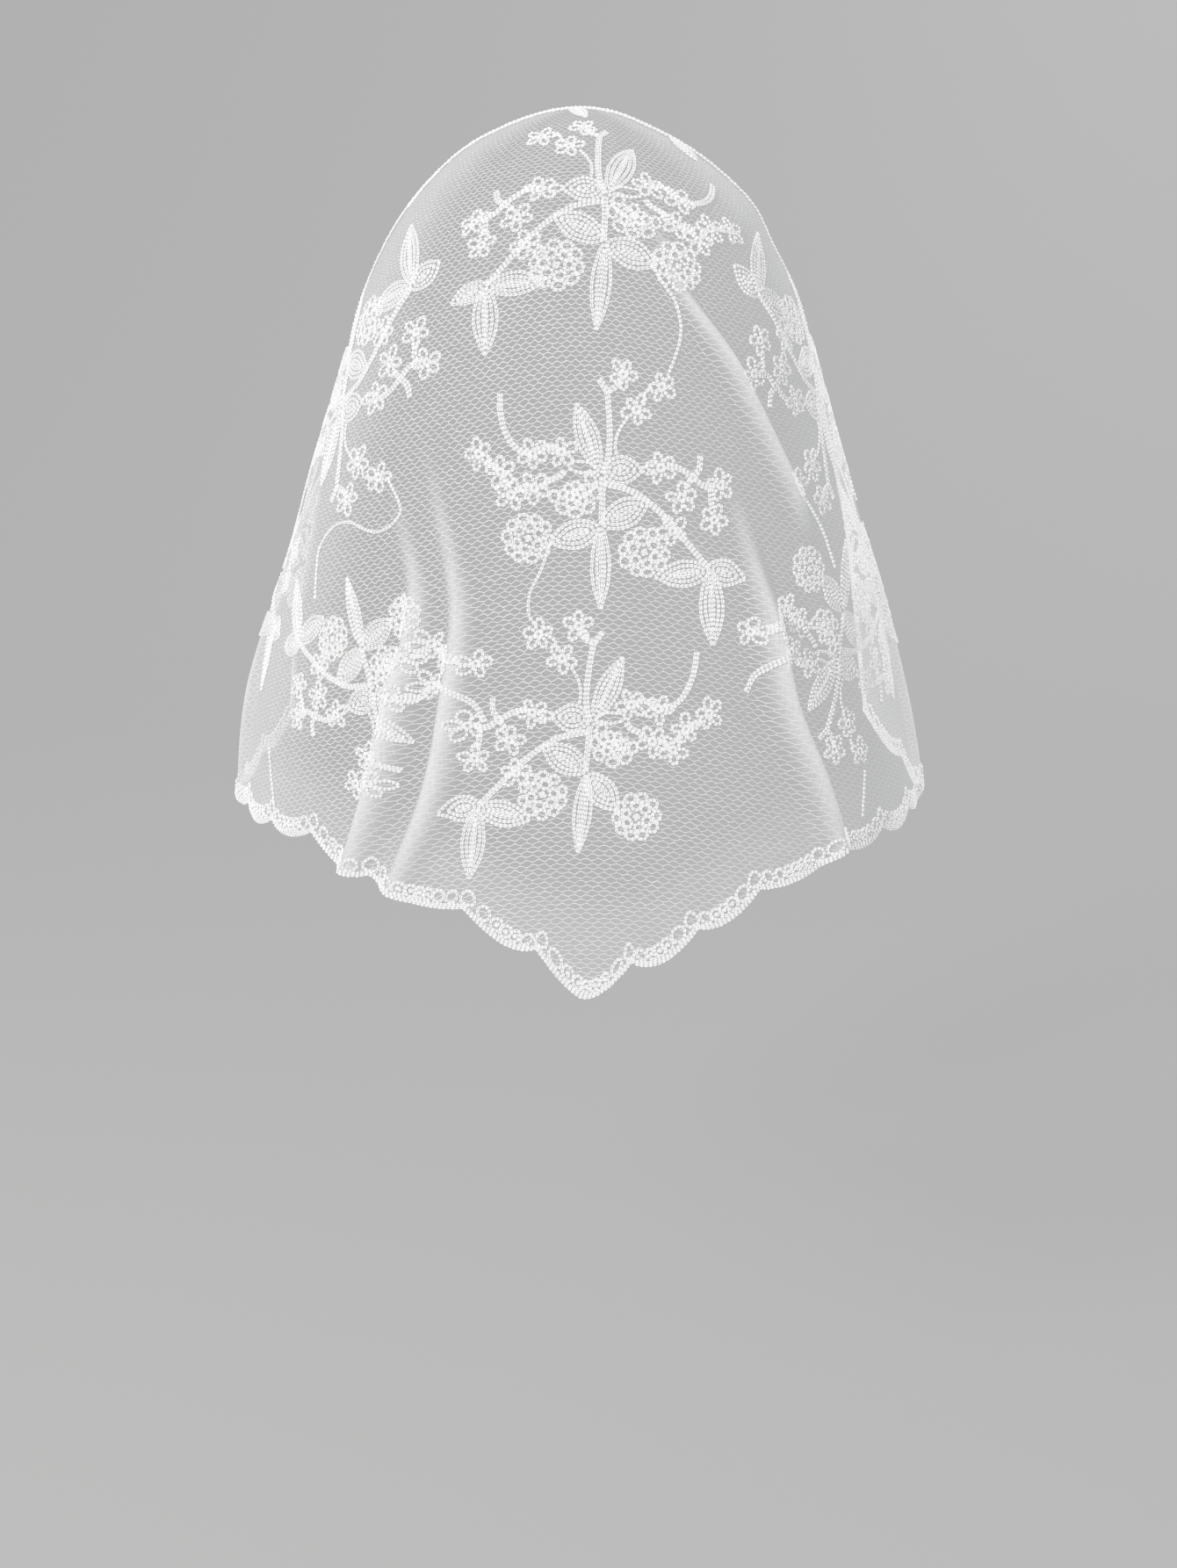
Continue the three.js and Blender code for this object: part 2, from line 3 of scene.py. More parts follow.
import bpy
import numpy as np
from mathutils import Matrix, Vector


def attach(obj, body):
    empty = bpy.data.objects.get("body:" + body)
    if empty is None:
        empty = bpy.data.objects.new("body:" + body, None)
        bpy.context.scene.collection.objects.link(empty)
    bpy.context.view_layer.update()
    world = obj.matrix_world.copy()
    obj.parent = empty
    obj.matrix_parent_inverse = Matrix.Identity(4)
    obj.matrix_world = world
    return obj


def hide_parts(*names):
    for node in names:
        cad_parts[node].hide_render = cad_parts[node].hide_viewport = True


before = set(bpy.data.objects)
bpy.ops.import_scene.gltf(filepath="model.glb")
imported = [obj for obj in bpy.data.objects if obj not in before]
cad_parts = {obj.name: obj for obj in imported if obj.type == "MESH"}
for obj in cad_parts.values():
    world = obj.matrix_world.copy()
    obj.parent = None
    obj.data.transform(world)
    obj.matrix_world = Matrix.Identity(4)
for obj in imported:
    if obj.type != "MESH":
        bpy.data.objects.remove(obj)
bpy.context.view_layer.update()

# Lengths below are in millimetres, and angles on the cloth in degrees. A place on the cloth is
# an azimuth round the vertical axis, 0 where the cloth hangs at -Y and 90 toward +X,
# and a depth, measured over the cloth from the crown at the origin.
MM = 0.001

# Camera at the photograph's viewing angle
PHOTO_SIZE = (1340, 1785)
FOCAL_PIXELS = 4160
SENSOR_WIDTH = 36
CAMERA_PLACE = (3.4, -1590, 210)
CAMERA_PITCH = 18

# Stage
FLOOR_DROP = 620
STAGE_HALF_WIDTH = 6000
STAGE_FRONT = -4000
STAGE_BACK = 2600
STAGE_COVE = 1500
STAGE_TOP = 4500
COVE_STEPS = 24
FLOOR_COLOUR = (0.0158, 0.0163, 0.0158)
WALL_COLOUR = (0.0203, 0.021, 0.0203)
STAGE_MOTTLE_SCALE = 1.1
STAGE_MOTTLE = 0.1

# Light: the stage's own glow, and the room's
ROOM_COLOUR = (0.97, 1, 0.98, 1)
BACKDROP_GLOW = 0.38
ROOM_LIGHT = 0.42

# Each lamp's place and the point that it faces in metres, its width, its power in watts and its colour
LAMPS = {
    "key": ((-1.05, -1.3, 0.95), (0, 0, -0.18), 0.4, 1400, (1, 0.985, 0.965)),
    "fill": ((1.5, -1.2, 0.35), (0, 0, -0.2), 1.4, 220, (0.95, 0.975, 1)),
    "top": ((0.2, 0.7, 2.2), (0, 0.2, 0), 2, 85, (1, 1, 1)),
    "front": ((0.9, 2, 0.7), (0, 0, -0.18), 1, 420, (1, 1, 1)),
}

# Net: its rows are level down to the first share of FOLLOW_HEM, and follow the hem at the second
NET_COLUMNS = 340
NET_ROWS = 140
NET_INSET = 1.2
FOLLOW_HEM = (0.3, 1)
SETTLE_TURNS = 5

# Cells of the net, whose courses wander and whose links are uneven
COURSE_SLOPE = 0.47
COURSE_ROUNDING = 0.4
CELL_WIDTH = 4.2
CELL_HEIGHT = 2.0
CELL_WAVE = 0.4
NET_THREAD = 0.14
NET_THREAD_EDGE = (0.3, 0.75)
NET_OPACITY = 0.33
LINK_THINNESS = 3
LINK_FADE = 4
COURSE_WANDER = 1.6
COURSE_WANDER_SCALE = 0.22
CELL_JITTER = 1.1
CELL_JITTER_SCALE = 0.6

# Haze of the net's crowded threads, and its colours. Levels are a least value and what noise adds.
FOLD_HAZE = 0.2
FOLD_LEAD = 20
SIDE_HAZE = 0.06
SIDE_HAZE_AZIMUTHS = (45, 80)
HEM_HAZE = 0.02
HEM_HAZE_DEPTHS = (-40, -8)
HAZE_SHARPNESS = 6
HAZE_MOST = 0.95
STREAK_STRETCH = (1.5, 0.1, 1)
STREAK_LEVELS = (0.1, 1.6)
CLOUD_SCALE = 0.09
CLOUD_LEVELS = (0.6, 0.8)
TINT_SCALE = 90
NET_DARK = (0.45, 0.45, 0.47)
NET_LIGHT = (0.6, 0.6, 0.62)

# Embroidery thread
STITCH_PITCH = 1.95
STITCH_WIDTH = 1.15
LOOP_STITCH_WIDTH = 1.05
THREAD_RADIUS = 0.26
ROW_SPACING = 1.9
STEM_SPACING = 1.25
STITCH_LIFT = 0.45
EDGE_SLACK = 0.5
STITCH_SHIFT = 0.35
STITCH_SCATTER = (0.05, 0.06)
WIDTH_RANGE = (0.92, 1.08)
# Random spread of each stitch's painted light and shade
PAINTED_LIGHT_RANGE = (0.6, 1.05)
STRAND_SCALE = 260
STRAND_LEVELS = (0.88, 0.3)
FIBRE_SCALE = 2600
# Painted shade: the dark end of the thread's colour ramp, reached where the stitches' painted light is low;
# the light end is the thread's own white
THREAD_PAINTED_SHADE = (0.02, 0.02, 0.022)
THREAD_LIGHT = (0.98, 0.975, 0.97)
SEED = 7

# Leaves: how far the outer row lies inside the outline, how much shorter a row is for each millimetre
# of its inset, and the powers that lean the outline to the base, round it and point it at the tip
LEAF_MARGIN = 0.7
LEAF_INSET = 2.4
LEAF_LEAN = 0.92
LEAF_BLUNT = 0.6
LEAF_POINT = 0.4
LEAF_STEPS = 24
LEAST_HALF_WIDTH = 0.2

# Trims
SCALLOP_DEPTH = 5.5
SCALLOP_ROUNDING = 0.8
TIP_DEPTH = 17
TIP_ROUNDING = 1.5
EDGING_ROWS = (0.65, 1.9)
RING_LEVEL = 2.7
RING_PITCH = 4.7
RING_HALF_LENGTH = 2.6
RING_HALF_WIDTH = 3.2
RING_SHIFT = 0.05
RING_CROWDING = (0.5, 0.3)
RING_VARIATION = 0.2
LEAST_RINGS = 4
SWIRL_RADIUS = 0.8
SWIRL_CROWDING = 0.8
SCALLOP_STEPS = 40
HEM_MM_PER_DEGREE = 2.5
FRONT_ROWS = (0.5, 1.6, 2.7)
FRONT_STEPS = 900


def table(names, rows):
    """A table as columns by name."""
    return dict(zip(names.split(), np.array(rows, float).T))


# Level sections of the cloth: depth, drop below the crown, and half widths of each section
SECTIONS = table("depth drop back left right fore", [
    (-20, 1.8, -19.9, -15, -14, -16),
    (0, 0, 0, 0, 0, 0),
    (20, 1.8, 19.9, 15, 14, 16),
    (40, 7.2, 39.1, 31, 28, 31),
    (60, 16, 57, 48, 45, 45),
    (80, 27.9, 73.1, 62, 61, 57),
    (100, 42.4, 86.8, 74.5, 75, 66),
    (120, 59.2, 97.6, 85, 83.5, 73),
    (145, 82, 106, 95.5, 95, 80),
    (180, 116, 112, 106, 105.5, 88),
    (220, 155.7, 115, 118.5, 117, 98),
    (265, 200.6, 118, 131, 130, 108),
    (320, 255.5, 122, 146, 142, 118),
    (370, 305.3, 126, 153, 152, 126),
    (430, 365, 131, 158, 159, 132),
])

# Azimuth of the front edge at each depth
FRONT_EDGE = table("depth azimuth", [
    (0, 90),
    (60, 90),
    (100, 92),
    (145, 97),
    (180, 102),
    (265, 111),
    (330, 116),
    (380, 118),
])

# Depth of the hem at each azimuth, at the notches between the scallops
HEM = table("azimuth depth", [
    (-118, 352),
    (-108, 364),
    (-90, 370),
    (-63, 369),
    (-50, 367),
    (-36, 379),
    (-19, 388),
    (-7, 404),
    (8, 410),
    (19, 397),
    (30, 383),
    (47, 372),
    (61, 371),
    (90, 369),
    (108, 363),
    (118, 352),
])

# Azimuths of the notches. The scallop that starts at TIP_NOTCH is the pointed one.
NOTCHES = np.array([-118, -105, -91, -77, -63, -50, -36, -19, -7, 8, 19, 30, 47, 60.5, 74, 88, 102, 118])
TIP_NOTCH = -7

# Folds: ridge height, half width in degrees, lean per millimetre of height,
# and the depths at which each starts, is full, begins to fade and is gone
FOLDS = table("height half lean start full fade gone", [
    (5, 5, 0.2, 230, 330, 330, 450),
    (10, 4.4, -0.42, 228, 300, 330, 450),
    (7.5, 4.2, -0.4, 205, 310, 330, 450),
    (9, 4.6, 0.42, 215, 290, 330, 450),
    (6, 4.4, 0.4, 100, 160, 212, 245),
    (5, 5, -0.2, 230, 330, 330, 450),
])

# Azimuth of each fold's ridge, one row for each fold, at these depths
RIDGE_DEPTHS = np.array([0, 120, 165, 205, 255, 300, 340, 385, 430], float)
RIDGES = np.array([
    (-72, -77, -80, -81, -83, -84, -85, -87, -88),
    (-54, -58, -54, -45, -32, -31.5, -34, -40, -46),
    (-40, -47, -43, -33, -23, -22, -24, -31, -37),
    (10, 15, 25, 33, 36, 37, 42, 47, 50),
    (20, 28, 39, 47, 55.5, 59, 62, 64, 65),
    (72, 77, 80, 82, 84, 85, 86, 88, 89),
], float)

# Where each spray's upper junction lies, how far it is turned to the left, its size across and
# along, whether it is mirrored (-1) or upside down (-1), and how far its wing and its trefoil swing
SPRAY_COLUMNS = "azimuth depth turn wide tall mirror upright wing trefoil"
SPRAYS = {
    "centre_top": (10.7, 79, -10.6, 1.33, 1.15, -1, 1, -2, -12),
    "centre_middle": (4.3, 200.3, -1.8, 1.06, 1.05, 1, 1, 3, -4),
    "centre_bottom": (2, 306, -4.9, 0.88, 1.04, -1, 1, 29, -2),
    "left_upper": (-71.7, 188, 27.6, 1.3, 1.08, -1, -1, 0, -22),
    "left_lower": (-38.6, 298, 30.3, 0.94, 0.97, 1, -1, 0, 0),
    "right_upper": (73.9, 186.5, -22, 1.1, 1.09, 1, -1, 0, -31),
    "right_lower": (54.5, 289.6, -30.2, 1.04, 1, -1, -1, 12, 0),
    "left_front": (-100, 258, 12, 1, 1, 1, 1, 0, 0),
    "right_front": (101, 262, -12, 1, 1, -1, 1, 0, 0),
}

# The spray's chart, in millimetres from its upper junction, x right and y up. A part of it that
# swings turns about its own junction.
PIVOTS = {"fixed": (0, 0), "wing": (0, -19.7), "trefoil": (42, -37.2)}
LEAVES = [
    ((-0.9, 3.6), (-10.5, 29), 10.3, "fixed"),
    ((1.1, 2.7), (16.8, 2.7), 12.3, "fixed"),
    ((0.8, -19), (19.3, -9.6), 12.3, "fixed"),
    ((-0.5, -20.2), (-19.3, -26), 12.1, "wing"),
    ((0.3, -20.5), (0.6, -53.4), 8, "fixed"),
    ((42.5, -38.5), (21, -41.8), 11.5, "trefoil"),
    ((42, -37), (57, -42), 11.5, "trefoil"),
    ((43, -39), (44.5, -69), 10.5, "trefoil"),
]
DOUBLE_STEMS = [
    [(0.8, 0), (0.8, -19.5)],
    [(0.8, 1), (3, 8), (3.6, 15), (3.2, 27), (2.4, 34.3)],
    [(2.2, 34), (0.3, 37), (-1, 38.8)],
    [(2.8, 34), (6, 35.5), (8.7, 38.5)],
    [(1, -2.5), (7, -4), (13, -6), (19, -10.2), (27, -18), (34.5, -27.6), (40.3, -35), (42, -37.2)],
    [(-43, 32), (-42.3, 25), (-40.3, 18), (-36.5, 12), (-32, 8.8), (-28, 8.2)],
    [(-26, 9.4), (-21, 11.5), (-17, 10)],
    [(27, 4.5), (32, 3.2), (36.5, 0.2), (38.3, -0.7)],
    [(38, -0.7), (41, 2), (42, 7.8)],
    [(38.5, -1), (43, -4.8), (48, -4.5)],
    [(45.6, -5.5), (45.2, -10), (45.8, -14)],
    [(37.8, -1), (35, -4.5)],
    [(-14.3, 2.3), (-15.5, 0), (-18, -1), (-21.5, -3), (-23, -5)],
    [(-28, -5.2), (-31, -5.8), (-33.5, -7)],
    [(-36, -6), (-39, -1)],
    [(-41, 1), (-47, 4)],
]
SINGLE_STEMS = [
    [(6.3, 8.5), (5.9, 13), (7.4, 18.4), (11, 23.5)],
    [(17, 29), (18.6, 31.5), (18, 33.2), (22, 35.5)],
    [(16.5, 3.4), (19, 4.6), (22, 4)],
    [(16.5, 2.4), (19, 0.9), (22, 1.8)],
    [(-12, 6), (-8, 5.8), (-4.5, 5.5), (-0.5, 2)],
    [(-13, 3), (-7, 1.2), (-3.8, 2.3), (-0.3, 0.3)],
    [(-1, -1.5), (-2.8, -5), (-6, -8)],
]
FLOWERS = [
    (9.4, 40.6),
    (15, 26.7),
    (26.2, 35.7),
    (24.8, 3.4),
    (32.9, -8.8),
    (50.4, -4.7),
    (46.2, -18.3),
    (28.5, -22),
    (-15.7, 9.4),
    (-27.3, 8.1),
    (-50, 6.5),
    (-40, 0),
    (-34.9, -8.8),
    (-25.8, -5.4),
]
ROSETTES = [((-27.3, -24.2), "wing"), ((17, -30.3), "fixed")]

# A rosette with its ring open on one side, about a small flower
HALF_ROSETTE_CENTRE = (-10, -6.5)
HALF_ROSETTE_FLOWER = 5.6
HALF_ROSETTE_RADIUS = 10.5
HALF_ROSETTE_PETALS = 6
HALF_ROSETTE_START = 190
HALF_ROSETTE_SHARE = 0.7

# Flowers and rosettes, and how uneven their loops are
FLOWER_RADIUS = 7.3
FLOWER_PETALS = 5
PETAL_HALF_WIDTH = 1.8
PETAL_START = 0.5
PETAL_FULLNESS = (1.3, 0.9)
FLOWER_UNEVEN = {"heading": 0.12, "length": (0.9, 1.08), "width": (0.85, 1.15)}
ROSETTE_RADIUS = 10.6
ROSETTE_PETALS = 10
ROSETTE_LOOP = 1.9
ROSETTE_HEART = 1.2
ROSETTE_UNEVEN = {"heading": 0.1, "length": (0.85, 1.1), "width": (0.85, 1)}
INNER_PETALS = 0.6
INNER_STEP = 1.9

# Lines of the embroidery that join the sprays to each other and to the hem, as places on the cloth
LINKS = [
    [(21, 112), (24, 121), (26.5, 131), (26, 143), (23, 154), (21, 160)],
    [(-6, 228.5), (-7.5, 239.5), (-9.5, 249.5), (-9.5, 259), (-8, 264)],
    [(-45, 208), (-39.5, 220), (-41, 227), (-45, 232), (-49, 232), (-53.5, 231), (-58.5, 234), (-62, 241),
     (-63.5, 248), (-62, 259), (-60.5, 268)],
    [(-67, 338), (-62.5, 362)],
    [(57.5, 343), (54.5, 363)],
    [(54, 219), (56.5, 228), (58, 235), (59, 245), (59.5, 254)],
]

# Leaves and stems at the front edge: millimetres from the crown, and inset from the edge
EDGE_LEAVES = [((-6, 2), (5, 19), 11), ((53, 2), (66, 15), 10)]
EDGE_STEMS = [[(-78, 4), (-90, 4.5), (-100, 6)]]


def blend(xs, ys, x):
    """Smooth value at x of a column ys over xs, with slopes from the rows on either side."""
    last = len(xs) - 1
    k = np.clip(np.searchsorted(xs, x) - 1, 0, last - 1)
    before = np.maximum(np.arange(last + 1) - 1, 0)
    after = np.minimum(np.arange(last + 1) + 1, last)
    slopes = (ys[after] - ys[before]) / (xs[after] - xs[before])
    step = xs[k + 1] - xs[k]
    t = np.clip((x - xs[k]) / step, 0, 1.5)
    rise = (ys[k + 1] - ys[k]) / step
    start, end = slopes[k], slopes[k + 1]
    return ys[k] + step * t * (start + t * (3 * rise - 2 * start - end + t * (start + end - 2 * rise)))


def smooth_step(start, end, x):
    t = np.clip((x - start) / (end - start), 0, 1)
    return t * t * (3 - 2 * t)


def width_at(name, depth):
    return blend(SECTIONS["depth"], SECTIONS[name], depth)


def base_point(azimuth, depth):
    """The cloth without its folds."""
    angle = np.radians(azimuth)
    side = np.where(azimuth < 0, width_at("left", depth), width_at("right", depth))
    along = np.where(np.cos(angle) > 0, width_at("back", depth), width_at("fore", depth))
    return np.stack([side * np.sin(angle), -along * np.cos(angle), -width_at("drop", depth)], -1)


def radius_at(azimuth, depth):
    """Millimetres over the cloth for one radian of azimuth."""
    angle = np.radians(azimuth)
    side = np.where(azimuth < 0, width_at("left", depth), width_at("right", depth))
    return np.maximum(np.hypot(side * np.sin(angle), width_at("back", depth) * np.cos(angle)), 0.01)


def normal_of(place, azimuth, depth, step=0.5):
    turn = np.degrees(step / np.maximum(radius_at(azimuth, depth), step))
    across = place(azimuth + turn, depth) - place(azimuth - turn, depth)
    down = place(azimuth, depth + step) - place(azimuth, np.maximum(depth - step, 0))
    normal = np.cross(down, across)
    return normal / np.linalg.norm(normal, axis=-1, keepdims=True)


def cloth_point(azimuth, depth):
    """The cloth with its folds, each a leaning ridge."""
    azimuth, depth = np.broadcast_arrays(np.asarray(azimuth, float), np.asarray(depth, float))
    lift = np.zeros(azimuth.shape)
    slide = np.zeros(azimuth.shape)
    for k, ridge in enumerate(RIDGES):
        fold = {name: column[k] for name, column in FOLDS.items()}
        grown = smooth_step(fold["start"], fold["full"], depth)
        grown = grown * (1 - smooth_step(fold["fade"], fold["gone"], depth))
        off = np.clip((azimuth - blend(RIDGE_DEPTHS, ridge, depth)) / fold["half"], -1, 1)
        rise = fold["height"] * grown * np.cos(np.pi / 2 * off) ** 2
        lift = lift + rise
        slide = slide + fold["lean"] * rise
    moved = azimuth + np.degrees(slide / radius_at(azimuth, depth))
    return base_point(moved, depth) + lift[..., None] * normal_of(base_point, moved, depth)


def hem_depth(azimuth):
    return blend(HEM["azimuth"], HEM["depth"], azimuth)


def front_azimuth(depth):
    return blend(FRONT_EDGE["depth"], FRONT_EDGE["azimuth"], depth)


def scallop_share(azimuth):
    """Which scallop an azimuth is in, and how far along it."""
    k = np.clip(np.searchsorted(NOTCHES, azimuth) - 1, 0, len(NOTCHES) - 2)
    share = np.clip((azimuth - NOTCHES[k]) / (NOTCHES[k + 1] - NOTCHES[k]), 0, 1)
    return k, share


def scallop_drop(azimuth):
    """How far the scallops hang below their notches."""
    k, share = scallop_share(azimuth)
    tip = TIP_DEPTH * (1 - np.abs(2 * share - 1) ** TIP_ROUNDING)
    rounded = SCALLOP_DEPTH * np.sin(np.pi * share) ** SCALLOP_ROUNDING
    return np.where(NOTCHES[k] == TIP_NOTCH, tip, rounded)


def mesh_object(name, vertices, triangles):
    """A mesh object from vertices in millimetres and triangles of their numbers."""
    mesh = bpy.data.meshes.new(name)
    mesh.vertices.add(len(vertices))
    mesh.vertices.foreach_set("co", (vertices * MM).astype(np.float32).ravel())
    mesh.loops.add(3 * len(triangles))
    mesh.loops.foreach_set("vertex_index", triangles.astype(np.int32).ravel())
    mesh.polygons.add(len(triangles))
    mesh.polygons.foreach_set("loop_start", np.arange(0, 3 * len(triangles), 3, dtype=np.int32))
    mesh.update(calc_edges=True)
    mesh.shade_smooth()
    item = bpy.data.objects.new(name, mesh)
    bpy.context.scene.collection.objects.link(item)
    return item


def make_camera():
    data = bpy.data.cameras.new("camera")
    data.sensor_width = SENSOR_WIDTH
    data.lens = FOCAL_PIXELS / max(PHOTO_SIZE) * SENSOR_WIDTH
    camera = bpy.data.objects.new("camera", data)
    camera.location = [x * MM for x in CAMERA_PLACE]
    camera.rotation_euler = (math.radians(90 - CAMERA_PITCH), 0, 0)
    bpy.context.scene.collection.objects.link(camera)
    bpy.context.scene.camera = camera


def make_lamp(name, place, target, size, power, colour):
    data = bpy.data.lights.new(name, "AREA")
    data.size = size
    data.energy = power
    data.color = colour
    lamp = bpy.data.objects.new(name, data)
    bpy.context.scene.collection.objects.link(lamp)
    lamp.location = place
    lamp.rotation_mode = "QUATERNION"
    lamp.rotation_quaternion = (Vector(target) - lamp.location).to_track_quat("-Z", "Y")


def make_lights():
    for name, lamp in LAMPS.items():
        make_lamp(name, *lamp)
    world = bpy.data.worlds.new("room")
    world.use_nodes = True
    background = world.node_tree.nodes["Background"]
    background.inputs["Color"].default_value = ROOM_COLOUR
    background.inputs["Strength"].default_value = ROOM_LIGHT
    bpy.context.scene.world = world


def make_stage():
    """Pale floor that curves up into a backdrop."""
    profile = [(STAGE_FRONT, -FLOOR_DROP)]
    for step in range(COVE_STEPS + 1):
        angle = math.pi / 2 * step / COVE_STEPS
        y = STAGE_BACK - STAGE_COVE + STAGE_COVE * math.sin(angle)
        z = -FLOOR_DROP + STAGE_COVE * (1 - math.cos(angle))
        profile.append((y, z))
    profile.append((STAGE_BACK, STAGE_TOP))
    sides = (-STAGE_HALF_WIDTH, STAGE_HALF_WIDTH)
    vertices = np.array([(x, y, z) for y, z in profile for x in sides], float)
    triangles = []
    for k in range(len(profile) - 1):
        a = 2 * k
        triangles += [(a, a + 1, a + 3), (a, a + 3, a + 2)]
    stage = mesh_object("stage", vertices, np.array(triangles))
    stage.data.materials.append(stage_material())


def principled(name):
    material = bpy.data.materials.new(name)
    material.use_nodes = True
    shader = material.node_tree.nodes["Principled BSDF"]
    return material, material.node_tree, shader


def calc(tree, operation, *values):
    """A Math node's result; a value is a number or a socket."""
    node = tree.nodes.new("ShaderNodeMath")
    node.operation = operation
    for k, value in enumerate(values):
        if isinstance(value, bpy.types.NodeSocket):
            tree.links.new(value, node.inputs[k])
        else:
            node.inputs[k].default_value = value
    return node.outputs[0]


def noise(tree, vector, scale, detail=2.0):
    node = tree.nodes.new("ShaderNodeTexNoise")
    node.inputs["Scale"].default_value = scale
    node.inputs["Detail"].default_value = detail
    tree.links.new(vector, node.inputs["Vector"])
    return node.outputs["Fac"]


def ramp(tree, factor, low, high):
    """A colour between two, by a factor."""
    node = tree.nodes.new("ShaderNodeValToRGB")
    node.color_ramp.elements[0].color = (*low, 1)
    node.color_ramp.elements[1].color = (*high, 1)
    tree.links.new(factor, node.inputs["Fac"])
    return node.outputs["Color"]


def stage_material():
    """Pale grey with a soft glow, a little darker on the floor than on the wall."""
    material, tree, shader = principled("pale_grey")
    place = tree.nodes.new("ShaderNodeTexCoord").outputs["Object"]
    split = tree.nodes.new("ShaderNodeSeparateXYZ")
    tree.links.new(place, split.inputs[0])
    height = tree.nodes.new("ShaderNodeMapRange")
    height.interpolation_type = "SMOOTHSTEP"
    tree.links.new(split.outputs["Z"], height.inputs["Value"])
    height.inputs["From Min"].default_value = -FLOOR_DROP * MM
    height.inputs["From Max"].default_value = (STAGE_COVE - FLOOR_DROP) * MM
    mottle = noise(tree, place, STAGE_MOTTLE_SCALE)
    tone = calc(tree, "MULTIPLY_ADD", mottle, STAGE_MOTTLE, height.outputs["Result"])
    tree.links.new(ramp(tree, tone, FLOOR_COLOUR, WALL_COLOUR), shader.inputs["Base Color"])
    shader.inputs["Specular IOR Level"].default_value = 0
    shader.inputs["Emission Color"].default_value = ROOM_COLOUR
    shader.inputs["Emission Strength"].default_value = BACKDROP_GLOW
    shader.inputs["Roughness"].default_value = 0.9
    return material


def thread_material():
    """White silky thread, with strands twisted along it, and painted shade that darkens it towards near
    black in the stitches' crevices.
    """
    material, tree, shader = principled("silky_thread")
    place = tree.nodes.new("ShaderNodeTexCoord").outputs["Object"]
    light = tree.nodes.new("ShaderNodeAttribute")
    light.attribute_name = "light"
    least, more = STRAND_LEVELS
    strands = calc(tree, "MULTIPLY_ADD", noise(tree, place, STRAND_SCALE, 3), more, least)
    # Painted shade: the stitches' painted light, times the strands, runs the colour from the thread's white
    # down to near black
    tone = calc(tree, "MULTIPLY", light.outputs["Fac"], strands)
    tree.links.new(ramp(tree, tone, THREAD_PAINTED_SHADE, THREAD_LIGHT), shader.inputs["Base Color"])
    fibre = noise(tree, place, FIBRE_SCALE)
    bump = tree.nodes.new("ShaderNodeBump")
    bump.inputs["Strength"].default_value = 0.5
    bump.inputs["Distance"].default_value = 0.0002
    tree.links.new(fibre, bump.inputs["Height"])
    tree.links.new(bump.outputs["Normal"], shader.inputs["Normal"])
    shader.inputs["Roughness"].default_value = 0.42
    shader.inputs["Sheen Weight"].default_value = 0.1
    shader.inputs["Sheen Roughness"].default_value = 0.4
    return material


def net_cover(tree):
    """How much of a point of the net is thread: waved courses, with links between them."""
    uv = tree.nodes.new("ShaderNodeUVMap")
    uv.uv_map = "net"
    split = tree.nodes.new("ShaderNodeSeparateXYZ")
    tree.links.new(uv.outputs["UV"], split.inputs[0])
    wander = calc(tree, "SUBTRACT", noise(tree, uv.outputs["UV"], COURSE_WANDER_SCALE, 1), 0.5)
    jitter = calc(tree, "SUBTRACT", noise(tree, uv.outputs["UV"], CELL_JITTER_SCALE, 0), 0.5)
    u = calc(tree, "ADD", split.outputs["X"], calc(tree, "MULTIPLY", jitter, CELL_JITTER))
    v = calc(tree, "ADD", split.outputs["Y"], calc(tree, "MULTIPLY", wander, COURSE_WANDER))
    course = calc(tree, "DIVIDE", v, CELL_HEIGHT)
    wale = calc(tree, "DIVIDE", u, CELL_WIDTH)
    nearest = calc(tree, "ROUND", course)
    phase = calc(tree, "MULTIPLY_ADD", nearest, 0.5, wale)
    swing = calc(tree, "COSINE", calc(tree, "MULTIPLY", phase, 2 * math.pi))
    wave = calc(tree, "MULTIPLY", swing, CELL_WAVE)
    level = calc(tree, "MULTIPLY", calc(tree, "SUBTRACT", course, nearest), CELL_HEIGHT)
    from_wave = calc(tree, "ABSOLUTE", calc(tree, "SUBTRACT", level, wave))
    gap = calc(tree, "FLOOR", course)
    link = calc(tree, "MULTIPLY_ADD", gap, 0.5, wale)
    off = calc(tree, "SUBTRACT", link, calc(tree, "ROUND", link))
    from_link = calc(tree, "MULTIPLY", calc(tree, "ABSOLUTE", off), CELL_WIDTH * LINK_THINNESS)
    middle = calc(tree, "ABSOLUTE", calc(tree, "SUBTRACT", calc(tree, "SUBTRACT", course, gap), 0.5))
    beyond = calc(tree, "MAXIMUM", calc(tree, "SUBTRACT", middle, 0.5 - CELL_WAVE / CELL_HEIGHT), 0)
    from_link = calc(tree, "MULTIPLY_ADD", beyond, LINK_FADE, from_link)
    nearest_thread = calc(tree, "MINIMUM", from_wave, from_link)
    edge = tree.nodes.new("ShaderNodeMapRange")
    edge.interpolation_type = "SMOOTHSTEP"
    tree.links.new(nearest_thread, edge.inputs["Value"])
    edge.inputs["From Min"].default_value = NET_THREAD * NET_THREAD_EDGE[0]
    edge.inputs["From Max"].default_value = NET_THREAD * NET_THREAD_EDGE[1]
    edge.inputs["To Min"].default_value = 1
    edge.inputs["To Max"].default_value = 0
    return edge.outputs["Result"]


